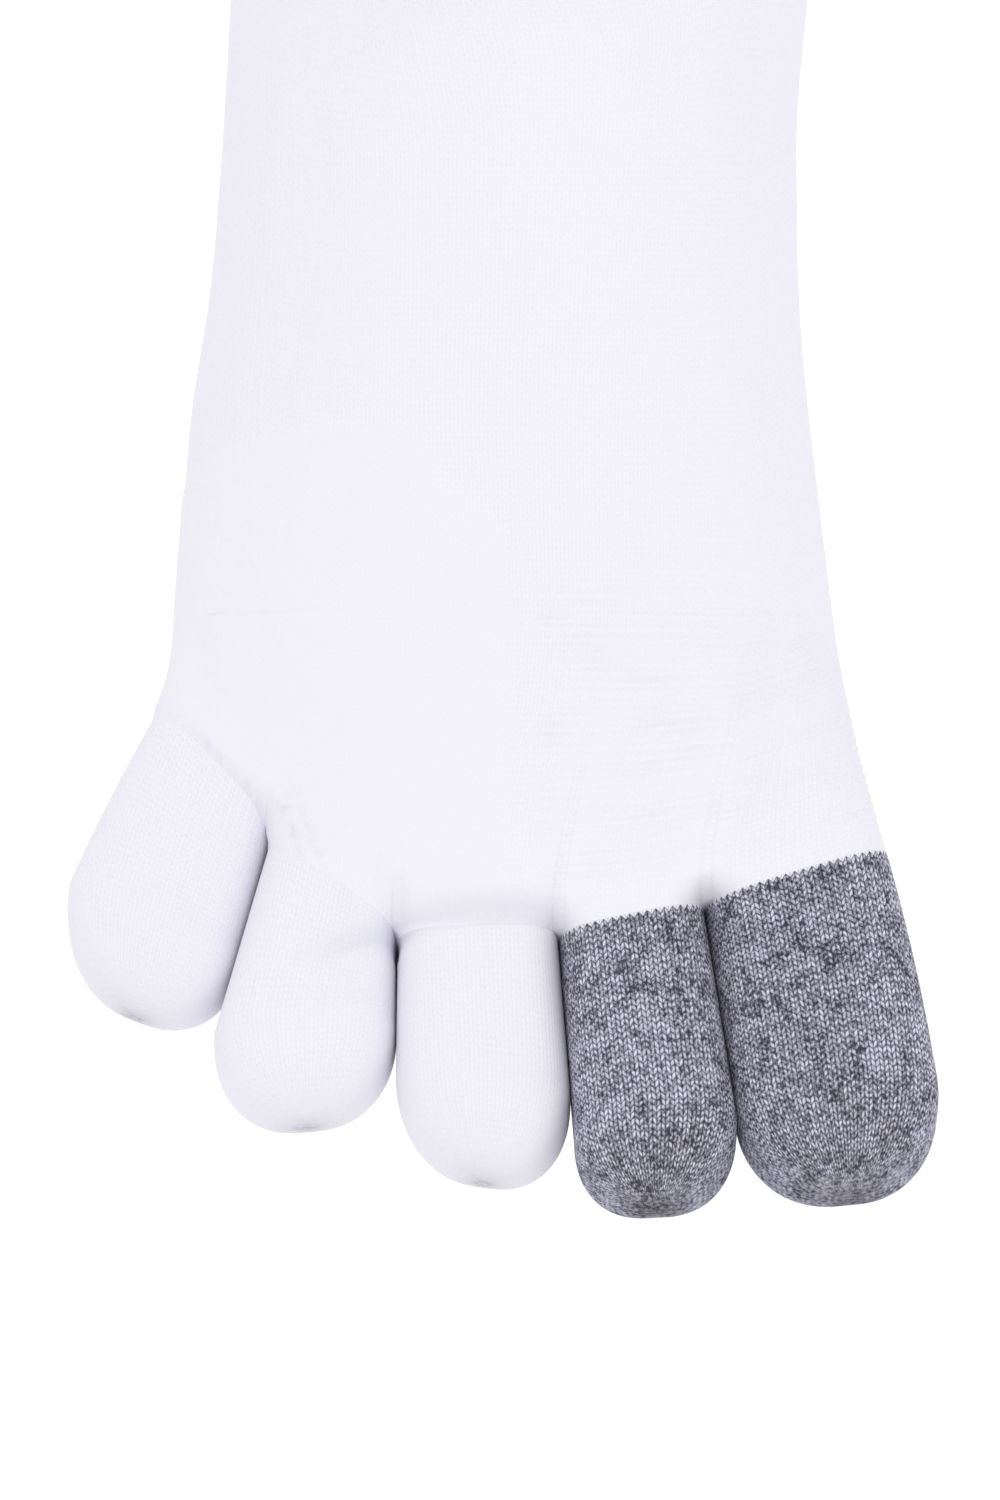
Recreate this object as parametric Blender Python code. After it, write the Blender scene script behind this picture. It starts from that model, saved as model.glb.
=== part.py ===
"""A knitted five-toe sock for the right foot, in the form that it keeps on a foot.

Metres. +Z is up, -Y points to the toes, +X to the big toe's side. The origin is where
the sole of the foot stands inside the sock, under the leg.

The foot and leg are one tube of rings. Its last ring is made of the upper and lower arcs
of the five toe sections, so the tube's columns run on into the toes, and a narrow web
closes it between two toes. The cuff and each toe are pieces of their own.
"""

import math
from collections import namedtuple

import bmesh
import bpy
import numpy as np

# Driving sizes
FOOT_LENGTH = 0.262  # heel to the longest toe
BALL_WIDTH = 0.098  # across the ball of the foot
INSTEP_HEIGHT = 0.090  # sole to the front of the ankle
TOE_HEIGHT = 0.0275  # big toe at its base
LEG_HEIGHT = 0.112  # sole to the cuff
LEG_WIDTH = 0.076
LEG_DEPTH = 0.086
CUFF_HEIGHT = 0.012
WALL = 0.002  # knitted cloth with its pile
CUFF_WALL = 0.0026  # cloth turned in double
PIECE_GAP = 0.0003  # between the foot and a toe or the cuff
TOE_GAP = 0.0004  # between two toes
WEB_DEPTH = 0.004  # cloth bar between two toes, front to back
VALLEY_LENGTH = 0.013  # how far the dip between two toes runs up the foot
GROOVE_DEPTH = 0.0012  # crease above the third and fourth toe
GROOVE_WIDTH = 0.0035

# Resolution
SIDE_COLUMNS = 2  # on each side of a toe that faces another toe
OUTER_STEPS = 2  # rings for each section
INNER_STEPS = 1
BRIDGE_ROWS = 9
STRAIGHT_ROWS = 4
TIP_ROWS = 5
ARC_SAMPLES = 181
CORNER_ANGLE = math.radians(27)  # where the web meets a toe's section
ARRIVAL = 0.7  # pull of the toes' direction on the tube just behind them

# Sections of the foot from the ankle to the ball. Each y is a share of FOOT_LENGTH and
# each z of INSTEP_HEIGHT; medial, lateral and crest are shares of BALL_WIDTH. Widest is
# the share of the way from the top point, at the front, to the sole point, at the heel,
# and the two rounds are the exponents of the section's two halves.
Section = namedtuple(
    "Section", "top_y top_z sole_y sole_z medial lateral crest widest top_round sole_round"
)
SECTIONS = (
    Section(-0.160, 1.128, 0.187, 1.000, 0.440, 0.385, 0.00, 0.50, 2.1, 2.0),
    Section(-0.170, 1.056, 0.214, 0.755, 0.450, 0.385, 0.00, 0.48, 2.1, 2.0),
    Section(-0.179, 1.011, 0.233, 0.511, 0.455, 0.386, 0.00, 0.46, 2.1, 2.0),
    Section(-0.189, 0.978, 0.235, 0.289, 0.460, 0.387, 0.00, 0.45, 2.1, 2.0),
    Section(-0.198, 0.950, 0.202, 0.089, 0.462, 0.388, 0.01, 0.45, 2.1, 2.1),
    Section(-0.210, 0.922, 0.130, 0.000, 0.460, 0.389, 0.02, 0.47, 2.1, 2.2),
    Section(-0.225, 0.889, 0.031, 0.000, 0.447, 0.395, 0.03, 0.50, 2.1, 2.3),
    Section(-0.246, 0.850, -0.061, 0.011, 0.434, 0.402, 0.04, 0.52, 2.1, 2.4),
    Section(-0.275, 0.800, -0.137, 0.028, 0.432, 0.411, 0.04, 0.55, 2.1, 2.5),
    Section(-0.321, 0.722, -0.198, 0.033, 0.435, 0.424, 0.04, 0.58, 2.1, 2.6),
    Section(-0.374, 0.633, -0.267, 0.022, 0.449, 0.445, 0.04, 0.60, 2.1, 2.7),
    Section(-0.427, 0.548, -0.344, 0.006, 0.469, 0.466, 0.04, 0.62, 2.1, 2.8),
    Section(-0.462, 0.490, -0.398, 0.000, 0.484, 0.478, 0.04, 0.63, 2.1, 2.9),
)
LEG_BACK = 0.179  # share of FOOT_LENGTH behind the origin
LEG_LEAN = 0.006  # how far the leg's lower ring sits forward, share of FOOT_LENGTH
LEG_MEDIAL = 0.53  # share of LEG_WIDTH on the big toe's side
LEG_LOW = 0.35  # the leg's lower ring, share of the way down to the ankle

# Lines between the toes in plan, from the big toe's free side to the little toe's: x and
# the outward bulge as shares of BALL_WIDTH, y of FOOT_LENGTH.
Split = namedtuple("Split", "base_x base_y end_x end_y bulge")
SPLITS = (
    Split(0.558, -0.557, 0.628, -0.702, 0.004),
    Split(0.290, -0.589, 0.340, -0.714, 0.000),
    Split(0.083, -0.606, 0.105, -0.710, 0.000),
    Split(-0.147, -0.608, -0.149, -0.687, 0.000),
    Split(-0.334, -0.558, -0.408, -0.6565, 0.000),
    Split(-0.486, -0.460, -0.618, -0.570, -0.012),
)

# The toes. The shoulders, where the tip starts to round, and the tip are shares as in
# SPLITS, the two tops are shares of TOE_HEIGHT, and lean is the forward slope of the
# base ring.
Toe = namedtuple(
    "Toe",
    "name yarn columns medial_y lateral_y tip_x tip_y base_top shoulder_top tip_round lean",
)
TOES = (
    Toe("big_toe", "grey", 6, -0.688, -0.703, 0.490, -0.7515, 1.00, 0.82, 2.0, 0.25),
    Toe("second_toe", "grey", 5, -0.712, -0.712, 0.222, -0.757, 0.98, 0.75, 2.2, 0.25),
    Toe("third_toe", "white", 5, -0.684, -0.673, -0.018, -0.741, 0.96, 0.71, 2.0, 0.20),
    Toe("fourth_toe", "white", 5, -0.6535, -0.661, -0.282, -0.709, 0.93, 0.69, 2.0, 0.10),
    Toe("little_toe", "white", 6, -0.608, -0.572, -0.540, -0.646, 0.87, 0.65, 2.0, -0.15),
)
TOE_ROUND = 2.5  # exponent of a toe's section
TOE_WIDEST = 0.47  # share of a toe's height
TIP_HEIGHT = 0.36  # share of TOE_HEIGHT

YARNS = {
    "white": ((0.90, 0.89, 0.94), 0.95),
    "grey": ((0.27, 0.26, 0.33), 0.95),
}

TOP_COLUMNS = sum(toe.columns for toe in TOES) + len(TOES) - 1


def through(rows, steps):
    """Rows on a smooth curve through the given ones, with this many steps between two."""
    rows = np.asarray(rows, float)
    padded = np.vstack([2 * rows[0] - rows[1], rows, 2 * rows[-1] - rows[-2]])
    made = []
    for i in range(len(rows) - 1):
        a, b, c, d = padded[i : i + 4]
        for t in np.arange(steps) / steps:
            made.append(
                0.5
                * (
                    2 * b
                    + (c - a) * t
                    + (2 * a - 5 * b + 4 * c - d) * t**2
                    + (3 * b - a - 3 * c + d) * t**3
                )
            )
    made.append(rows[-1])
    return made


def even_arc(start, end, count, roundness, medial, lateral, rise, fall):
    """Evenly spaced (side, height) points on a superellipse between two angles."""
    angle = np.linspace(start, end, ARC_SAMPLES)
    cosine = np.cos(angle)
    sine = np.sin(angle)
    power = 2 / roundness
    side = np.sign(cosine) * np.abs(cosine) ** power * np.where(cosine > 0, medial, lateral)
    height = np.sign(sine) * np.abs(sine) ** power * np.where(sine > 0, rise, fall)
    along = np.append(0, np.cumsum(np.hypot(np.diff(side), np.diff(height))))
    even = np.linspace(0, along[-1], count + 1)
    return np.column_stack([np.interp(even, along, side), np.interp(even, along, height)])


def leg_sections():
    """The two rings of the leg, in metres."""
    ankle_z = SECTIONS[0].top_z * INSTEP_HEIGHT
    low_z = LEG_HEIGHT + (ankle_z - LEG_HEIGHT) * LEG_LOW
    made = []
    for z, shift in ((LEG_HEIGHT, 0), (low_z, LEG_LEAN)):
        back = (LEG_BACK - shift) * FOOT_LENGTH
        front = back - LEG_DEPTH
        medial = LEG_MEDIAL * LEG_WIDTH
        made.append((front, z, back, z, medial, LEG_WIDTH - medial, 0, 0.5, 2.1, 2.1))
    return made


def sections(steps):
    """Every section from the leg's top to the ball of the foot, in metres."""
    made = leg_sections()
    for row in SECTIONS:
        made.append(
            (
                row.top_y * FOOT_LENGTH,
                row.top_z * INSTEP_HEIGHT,
                row.sole_y * FOOT_LENGTH,
                row.sole_z * INSTEP_HEIGHT - WALL,
                row.medial * BALL_WIDTH,
                row.lateral * BALL_WIDTH,
                row.crest * BALL_WIDTH,
                row.widest,
                row.top_round,
                row.sole_round,
            )
        )
    return [Section(*values) for values in through(made, steps)]


def oval_ring(row, inset):
    """A ring of the tube: over the top from the medial side, then under the sole."""
    top = np.array([0, row.top_y, row.top_z])
    sole = np.array([0, row.sole_y, row.sole_z])
    centre = top + (sole - top) * row.widest
    rise = np.linalg.norm(top - centre)
    fall = np.linalg.norm(sole - centre)
    up = (top - centre) / rise
    sizes = (row.medial - inset, row.lateral - inset, rise - inset, fall - inset)
    over = even_arc(0, math.pi, TOP_COLUMNS, row.top_round, *sizes)
    under = even_arc(math.pi, 2 * math.pi, TOP_COLUMNS, row.sole_round, *sizes)
    flat = np.vstack([over[:-1], under[:-1]])
    height = np.clip(flat[:, 1] / sizes[2], 0, 1)
    side = flat[:, 0] + row.crest * height**2
    return centre + np.outer(side, (1, 0, 0)) + np.outer(flat[:, 1], up)


def split_point(line, y_share):
    """The point of a line between toes at this share of the foot's length."""
    share = (y_share - line.base_y) / (line.end_y - line.base_y)
    x = line.base_x + share * (line.end_x - line.base_x) + line.bulge * 4 * share * (1 - share)
    return np.array([x * BALL_WIDTH, y_share * FOOT_LENGTH])


def toe_plan(index):
    """Base, shoulder and tip of a toe in plan: (medial, lateral) points, then the tip."""
    toe = TOES[index]
    inner, outer = SPLITS[index], SPLITS[index + 1]
    base = split_point(inner, inner.base_y), split_point(outer, outer.base_y)
    shoulder = split_point(inner, toe.medial_y), split_point(outer, toe.lateral_y)
    tip = np.array([toe.tip_x * BALL_WIDTH, toe.tip_y * FOOT_LENGTH])
    return base, shoulder, tip


def toe_edges(index, straight):
    """Medial and lateral points of a toe, from 0 at its base to 1 at its shoulder."""
    toe = TOES[index]
    made = []
    for line, shoulder_y in zip(SPLITS[index : index + 2], (toe.medial_y, toe.lateral_y)):
        made.append(split_point(line, line.base_y + (shoulder_y - line.base_y) * straight))
    return made


def straight_length(index):
    """Length of a toe from its base to its shoulder."""
    base, shoulder, _ = toe_plan(index)
    return np.linalg.norm(sum(shoulder) / 2 - sum(base) / 2)


def toe_forward(index):
    base, _, tip = toe_plan(index)
    forward = tip - sum(base) / 2
    return forward / np.linalg.norm(forward)


def base_clearance(index):
    """How far along the toe its base moves to leave PIECE_GAP square to the base."""
    (medial, lateral), _, _ = toe_plan(index)
    across = (medial - lateral) / np.linalg.norm(medial - lateral)
    forward = toe_forward(index)
    return PIECE_GAP / abs(across[0] * forward[1] - across[1] * forward[0])


def toe_ring(index, along, inset):
    """A toe's section. Along is 0 at the base, 1 at the shoulder and 2 at the tip."""
    toe = TOES[index]
    tip = toe_plan(index)[2]
    straight = min(along, 1)
    medial, lateral = toe_edges(index, straight)
    centre = (medial + lateral) / 2
    across = (medial - lateral) / np.linalg.norm(medial - lateral)
    half = np.linalg.norm(medial - lateral) / 2 - TOE_GAP / 2 - inset
    top_share = toe.base_top + (toe.shoulder_top - toe.base_top) * straight
    floor = -WALL
    top = top_share * TOE_HEIGHT
    middle = floor + (top - floor) * TOE_WIDEST
    rise, fall = top - middle - inset, middle - floor - inset
    if along > 1:
        angle = (along - 1) * math.pi / 2
        reach = math.sin(angle) ** (2 / toe.tip_round)
        shrink = max(math.cos(angle), 0) ** (2 / toe.tip_round)
        end = tip - toe_forward(index) * inset
        centre = centre + (end - centre) * reach
        middle = middle + (TIP_HEIGHT * TOE_HEIGHT - middle) * reach
        half, rise, fall = half * shrink, rise * shrink, fall * shrink
    lean = toe.lean * max(1 - along, 0)
    flat = np.vstack(toe_arcs(index, half, rise, fall))
    forward = toe_forward(index)
    plan = centre + np.outer(flat[:, 0], across) + np.outer(flat[:, 1] * lean, forward)
    return np.column_stack([plan, middle + flat[:, 1]])


def toe_arcs(index, half, rise, fall):
    """Top arc, lateral side, bottom arc and medial side, each without its last point."""
    count = TOES[index].columns
    first = CORNER_ANGLE if index > 0 else 0
    last = math.pi - (CORNER_ANGLE if index < len(TOES) - 1 else 0)
    sizes = (TOE_ROUND, half, half, rise, fall)
    made = [even_arc(first, last, count, *sizes)[:-1]]
    if index < len(TOES) - 1:
        made.append(even_arc(last, 2 * math.pi - last, SIDE_COLUMNS, *sizes)[:-1])
    made.append(even_arc(2 * math.pi - last, 2 * math.pi - first, count, *sizes)[:-1])
    if index > 0:
        made.append(even_arc(-first, first, SIDE_COLUMNS, *sizes)[:-1])
    return made


def loop_parts(index):
    """Positions in a toe's ring of its top arc, lateral side, bottom arc, medial side."""
    count = TOES[index].columns
    lateral = SIDE_COLUMNS if index < len(TOES) - 1 else 0
    medial = SIDE_COLUMNS if index > 0 else 0
    total = 2 * count + lateral + medial
    starts = (0, count, count + lateral, 2 * count + lateral)
    sizes = (count, lateral, count, medial)
    return [
        [(start + k) % total for k in range(size + 1)] for start, size in zip(starts, sizes)
    ]


def gather(loops):
    """The tube's last ring, picked from the toes' rings: top arcs, then bottom arcs."""
    over = [loop[k] for i, loop in enumerate(loops) for k in loop_parts(i)[0]]
    under = [
        loops[i][k] for i in reversed(range(len(loops))) for k in loop_parts(i)[2]
    ]
    return over + under[1:-1]


def envelope(front):
    """The last ring with the dips between the toes filled."""
    filled = front.copy()
    starts = np.cumsum([0] + [toe.columns + 1 for toe in TOES])
    centres = [start + toe.columns / 2 for start, toe in zip(starts, TOES)]
    low = np.arange(math.ceil(centres[0]), math.floor(centres[-1]) + 1)
    z = front[:, 2]
    heights = [max(z[math.floor(c)], z[math.ceil(c)]) for c in centres]
    filled[low, 2] = np.maximum(z[low], np.interp(low, centres, heights))
    mirror = len(front) - low
    filled[mirror, 2] = np.minimum(z[mirror], z.min())
    return filled


def bridge_rings(last, before, inset, back):
    """Rings from the last oval section to the toes' bases, the last one included."""
    loops = [toe_ring(i, -back / straight_length(i), inset) for i in range(len(TOES))]
    ahead = [
        toe_ring(i, (WEB_DEPTH - back) / straight_length(i), inset) for i in range(len(TOES))
    ]
    front = np.array(gather(loops))
    onward = np.array(gather(ahead)) - front
    filled = envelope(front)
    span = np.linalg.norm(filled - last, axis=1)[:, None]
    leave = (last - before) / np.linalg.norm(last - before, axis=1)[:, None] * span
    arrive = onward / np.linalg.norm(onward, axis=1)[:, None] * span * ARRIVAL
    creased = crease_share()[:, None] * np.array([0, 0, 1])
    made = []
    for row in range(1, BRIDGE_ROWS + 1):
        t = math.sin(row / BRIDGE_ROWS * math.pi / 2)
        ring = (
            (2 * t**3 - 3 * t**2 + 1) * last
            + (t**3 - 2 * t**2 + t) * leave
            + (3 * t**2 - 2 * t**3) * filled
            + (t**3 - t**2) * arrive
        )
        left = (1 - t) * span
        dip = np.clip(1 - left / VALLEY_LENGTH, 0, 1) ** 2
        ring = ring + (front - filled) * dip
        swell = left / GROOVE_WIDTH * np.exp(1 - left / GROOVE_WIDTH)
        made.append(ring + creased * GROOVE_DEPTH * swell)
    return made, loops


def crease_share():
    """1 on the columns over the third and fourth toe, falling to 0 beside them."""
    share = np.zeros(2 * TOP_COLUMNS)
    starts = np.cumsum([0] + [toe.columns + 1 for toe in TOES])
    for column in range(starts[2], starts[4]):
        place = (column - starts[2]) / (starts[4] - 1 - starts[2])
        share[column] = math.sin(math.pi * place) ** 0.5
    return share


class Shell:
    """Points and faces of one closed piece."""

    def __init__(self):
        self.points = []
        self.faces = []

    def ring(self, points):
        start = len(self.points)
        self.points.extend(tuple(point) for point in points)
        return list(range(start, len(self.points)))

    def join(self, first, second):
        """Quads between two closed rings of the same length."""
        for k in range(len(first)):
            n = (k + 1) % len(first)
            self.faces.append((first[k], first[n], second[n], second[k]))

    def strip(self, first, second):
        """Quads between two open rows of the same length."""
        for k in range(len(first) - 1):
            self.faces.append((first[k], first[k + 1], second[k + 1], second[k]))

    def close(self, ring, point):
        """A fan from a ring to one point."""
        pole = self.ring([point])[0]
        for k in range(len(ring)):
            self.faces.append((ring[k], ring[(k + 1) % len(ring)], pole))

    def build(self, name, yarn):
        mesh = bpy.data.meshes.new(name)
        mesh.from_pydata(self.points, [], self.faces)
        working = bmesh.new()
        working.from_mesh(mesh)
        bmesh.ops.recalc_face_normals(working, faces=working.faces)
        working.to_mesh(mesh)
        working.free()
        mesh.shade_smooth()
        mesh.materials.append(material(yarn))
        piece = bpy.data.objects.new(name, mesh)
        bpy.context.scene.collection.objects.link(piece)
        return piece


def material(yarn):
    """One material for each piece, in its yarn's colour."""
    colour, roughness = YARNS[yarn]
    made = bpy.data.materials.new(f"{yarn}_knit")
    made.use_nodes = True
    shader = made.node_tree.nodes["Principled BSDF"]
    shader.inputs["Base Color"].default_value = (*colour, 1)
    shader.inputs["Roughness"].default_value = roughness
    shader.inputs["Metallic"].default_value = 0
    return made


def webs(shell, loops):
    """Closes the slit between each two neighbouring toes' rings."""
    for i in range(len(loops) - 1):
        lateral = [loops[i][k] for k in loop_parts(i)[1]]
        medial = [loops[i + 1][k] for k in reversed(loop_parts(i + 1)[3])]
        shell.strip(lateral, medial)


def tube_wall(shell, inset, back, steps):
    """One surface of the foot and leg. It gives the leg's ring and the toes' rings."""
    rings = [oval_ring(row, inset) for row in sections(steps)]
    bridge, toe_points = bridge_rings(rings[-1], rings[-2], inset, back)
    loops = [shell.ring(points) for points in toe_points]
    placed = [shell.ring(points) for points in rings + bridge[:-1]]
    placed.append(gather(loops))
    for first, second in zip(placed, placed[1:]):
        shell.join(first, second)
    webs(shell, loops)
    return placed[0], loops


def foot_and_leg():
    shell = Shell()
    outer_top, outer_loops = tube_wall(shell, 0, 0, OUTER_STEPS)
    inner_top, inner_loops = tube_wall(shell, WALL, WEB_DEPTH, INNER_STEPS)
    shell.join(outer_top, inner_top)
    for i, (outer, inner) in enumerate(zip(outer_loops, inner_loops)):
        rim = shell.ring(toe_ring(i, 0, WALL))
        shell.join(outer, rim)
        shell.join(rim, inner)
    return shell.build("foot_and_leg", "white")


def cuff():
    """A plain band on the leg's top ring, cloth turned in double."""
    row = sections(1)[0]
    shell = Shell()
    levels = (PIECE_GAP, CUFF_HEIGHT / 2, CUFF_HEIGHT)
    swell = (CUFF_WALL - WALL) / 2
    walls = []
    for inset in (-swell, WALL + swell):
        rings = []
        for level in levels:
            z = LEG_HEIGHT + level
            rings.append(shell.ring(oval_ring(row._replace(top_z=z, sole_z=z), inset)))
        for first, second in zip(rings, rings[1:]):
            shell.join(first, second)
        walls.append(rings)
    shell.join(walls[0][0], walls[1][0])
    shell.join(walls[0][-1], walls[1][-1])
    return shell.build("cuff", "white")


def toe_piece(index):
    """One toe: a round-ended pocket, open at its base."""
    start = base_clearance(index) / straight_length(index)
    straight = np.linspace(start, 1, STRAIGHT_ROWS + 1)
    rounded = 1 + np.arange(1, TIP_ROWS) / TIP_ROWS
    shell = Shell()
    walls = []
    for inset in (0, WALL):
        rings = [
            shell.ring(toe_ring(index, along, inset)) for along in (*straight, *rounded)
        ]
        for first, second in zip(rings, rings[1:]):
            shell.join(first, second)
        shell.close(rings[-1], toe_ring(index, 2, inset).mean(axis=0))
        walls.append(rings)
    shell.join(walls[0][0], walls[1][0])
    return shell.build(TOES[index].name, TOES[index].yarn)


def main():
    for old in list(bpy.data.objects):
        bpy.data.objects.remove(old)
    foot_and_leg()
    cuff()
    for index in range(len(TOES)):
        toe_piece(index)


main()
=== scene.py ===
# %% [markdown]
# # A knitted toe sock
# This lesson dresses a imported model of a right-foot toe sock. The real thing is one
# knitted tube with five pockets at its front and a turned band at its top. The packed
# solids give the sizes, and each is replaced by a finer mesh of the same form that
# carries the relief of the knitting. Sizes are in metres.

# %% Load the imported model
import math
from collections import namedtuple

import bmesh
import bpy
import numpy as np
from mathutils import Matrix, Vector


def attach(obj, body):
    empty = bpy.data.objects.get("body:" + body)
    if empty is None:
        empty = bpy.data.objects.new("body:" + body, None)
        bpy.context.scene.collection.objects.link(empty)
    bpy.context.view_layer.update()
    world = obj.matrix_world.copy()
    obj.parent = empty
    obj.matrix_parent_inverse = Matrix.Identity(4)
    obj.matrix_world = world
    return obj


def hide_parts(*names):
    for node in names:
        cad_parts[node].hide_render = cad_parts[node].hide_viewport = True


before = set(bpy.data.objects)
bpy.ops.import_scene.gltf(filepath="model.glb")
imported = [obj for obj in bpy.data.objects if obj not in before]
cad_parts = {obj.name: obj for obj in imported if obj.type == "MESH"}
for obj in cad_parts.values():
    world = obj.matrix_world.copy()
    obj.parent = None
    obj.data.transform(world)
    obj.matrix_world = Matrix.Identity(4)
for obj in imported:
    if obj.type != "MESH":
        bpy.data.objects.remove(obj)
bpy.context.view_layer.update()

MM = 0.001

# %% [markdown]
# ## The camera and the sizes of the foot
# The sock is seen from above the toes, so the camera looks down at 65 degrees. A long
# lens keeps the outline close to a plan of the foot. The tables follow the sections, the
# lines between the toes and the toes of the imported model, because a smoother mesh needs
# the curves themselves and not the facets made from them. The toes here are a little
# boxier and closer together, as toes are when a stretch knit presses them.

# %% Camera
VIEW_ELEVATION = math.radians(65)
VIEW_DISTANCE = 1.5
VIEW_HEIGHT = 0.2145  # what the frame's long side takes in at the sock
VIEW_DOWN = -0.1114  # the frame's middle, down the picture from the origin
VIEW_LIFT = 0.05  # height of the plane that VIEW_HEIGHT is measured in
SENSOR = 36

picture_up = np.array([0, math.sin(VIEW_ELEVATION), math.cos(VIEW_ELEVATION)])
picture_back = np.array([0, -math.cos(VIEW_ELEVATION), math.sin(VIEW_ELEVATION)])
lens = bpy.data.cameras.new("camera")
lens.sensor_width = SENSOR
lens.lens = SENSOR * VIEW_DISTANCE / VIEW_HEIGHT
camera = bpy.data.objects.new("camera", lens)
camera.location = picture_up * VIEW_DOWN + picture_back * (VIEW_LIFT + VIEW_DISTANCE)
camera.rotation_euler = (math.pi / 2 - VIEW_ELEVATION, 0, 0)
bpy.context.scene.collection.objects.link(camera)
bpy.context.scene.camera = camera
print("lens", round(lens.lens), "mm")

# %% Sizes of the sock
FOOT_LENGTH = 0.262
BALL_WIDTH = 0.098
INSTEP_HEIGHT = 0.090
TOE_HEIGHT = 0.0275
LEG_HEIGHT = 0.112
LEG_WIDTH = 0.076
LEG_DEPTH = 0.086
LEG_BACK = 0.179
LEG_LEAN = 0.006
LEG_MEDIAL = 0.53
LEG_LOW = 0.35
CUFF_HEIGHT = 0.012
WALL = 0.002
CUFF_WALL = 0.0026
TOE_GAP = 0.00004
WEB_DEPTH = 0.004
VALLEY_LENGTH = 0.005
GROOVE_DEPTH = 0.0020
GROOVE_WIDTH = 0.0035
CORNER_ANGLE = math.radians(27)
ARRIVAL = 0.7
ARC_SAMPLES = 181

Section = namedtuple(
    "Section", "top_y top_z sole_y sole_z medial lateral crest widest top_round sole_round"
)
SECTIONS = (
    Section(-0.160, 1.128, 0.187, 1.000, 0.440, 0.385, 0.00, 0.50, 2.1, 2.0),
    Section(-0.170, 1.056, 0.214, 0.755, 0.450, 0.385, 0.00, 0.48, 2.1, 2.0),
    Section(-0.179, 1.011, 0.233, 0.511, 0.455, 0.386, 0.00, 0.46, 2.1, 2.0),
    Section(-0.189, 0.978, 0.235, 0.289, 0.460, 0.387, 0.00, 0.45, 2.1, 2.0),
    Section(-0.198, 0.950, 0.202, 0.089, 0.462, 0.388, 0.01, 0.45, 2.1, 2.1),
    Section(-0.210, 0.922, 0.130, 0.000, 0.460, 0.389, 0.02, 0.47, 2.1, 2.2),
    Section(-0.225, 0.889, 0.031, 0.000, 0.447, 0.395, 0.03, 0.50, 2.1, 2.3),
    Section(-0.246, 0.850, -0.061, 0.011, 0.434, 0.402, 0.04, 0.52, 2.1, 2.4),
    Section(-0.275, 0.800, -0.137, 0.028, 0.432, 0.411, 0.04, 0.55, 2.1, 2.5),
    Section(-0.321, 0.722, -0.198, 0.033, 0.435, 0.424, 0.04, 0.58, 2.1, 2.6),
    Section(-0.374, 0.633, -0.267, 0.022, 0.449, 0.449, 0.04, 0.60, 2.1, 2.7),
    Section(-0.427, 0.548, -0.344, 0.006, 0.469, 0.462, 0.04, 0.62, 2.1, 2.8),
    Section(-0.462, 0.490, -0.398, 0.000, 0.484, 0.470, 0.04, 0.63, 2.1, 2.9),
)

Split = namedtuple("Split", "base_x base_y end_x end_y bulge")
SPLITS = (
    Split(0.553, -0.557, 0.628, -0.702, 0.006),
    Split(0.290, -0.589, 0.340, -0.714, 0.000),
    Split(0.083, -0.606, 0.105, -0.710, 0.000),
    Split(-0.147, -0.608, -0.149, -0.687, 0.000),
    Split(-0.334, -0.558, -0.408, -0.6565, 0.000),
    Split(-0.508, -0.487, -0.621, -0.570, -0.004),
)

Toe = namedtuple(
    "Toe",
    "name yarn over under medial_y lateral_y tip_x tip_y base_top shoulder_top tip_round lean",
)
TOES = (
    Toe("big_toe", "grey", 44, 14, -0.688, -0.699, 0.494, -0.7505, 1.00, 0.82, 2.0, 0.25),
    Toe("second_toe", "grey", 34, 10, -0.707, -0.712, 0.222, -0.757, 0.98, 0.75, 2.1, 0.25),
    Toe("third_toe", "white", 34, 10, -0.690, -0.676, -0.024, -0.741, 0.96, 0.71, 2.0, 0.20),
    Toe("fourth_toe", "white", 34, 10, -0.650, -0.658, -0.275, -0.709, 0.93, 0.69, 2.0, 0.10),
    Toe("little_toe", "white", 40, 12, -0.607, -0.568, -0.522, -0.645, 0.87, 0.65, 2.0, -0.15),
)
TOE_ROUND = 3.6
TOE_WIDEST = 0.47
TIP_HEIGHT = 0.36

WEBS = len(TOES) - 1
OVER = sum(toe.over for toe in TOES) + WEBS
UNDER = sum(toe.under for toe in TOES) + WEBS
print("columns over the foot", OVER, "and under it", UNDER)

# %% [markdown]
# ## Curves of the tube
# A knitted tube is a stack of rings. Each ring here is a superellipse, flatter under the
# sole than over the instep, and its points are spaced evenly along it so that the
# stitches stay even too. A smooth curve through the table gives as many rings as wanted.


# %% Rings of the foot and leg
def through(rows, places):
    """Rows on a smooth curve through the given ones, at places counted in rows."""
    rows = np.asarray(rows, float)
    padded = np.vstack([2 * rows[0] - rows[1], rows, 2 * rows[-1] - rows[-2]])
    first = np.minimum(places.astype(int), len(rows) - 2)
    t = (places - first)[:, None]
    a, b, c, d = (padded[first + k] for k in range(4))
    cubic = (2 * a - 5 * b + 4 * c - d) * t**2 + (3 * b - a - 3 * c + d) * t**3
    return 0.5 * (2 * b + (c - a) * t + cubic)


def even_arc(start, end, count, roundness, medial, lateral, rise, fall):
    """Evenly spaced (side, height) points on a superellipse between two angles."""
    angle = np.linspace(start, end, ARC_SAMPLES)
    cosine = np.cos(angle)
    sine = np.sin(angle)
    power = 2 / roundness
    side = np.sign(cosine) * np.abs(cosine) ** power * np.where(cosine > 0, medial, lateral)
    height = np.sign(sine) * np.abs(sine) ** power * np.where(sine > 0, rise, fall)
    along = np.append(0, np.cumsum(np.hypot(np.diff(side), np.diff(height))))
    even = np.linspace(0, along[-1], count + 1)
    return np.column_stack([np.interp(even, along, side), np.interp(even, along, height)])


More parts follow.
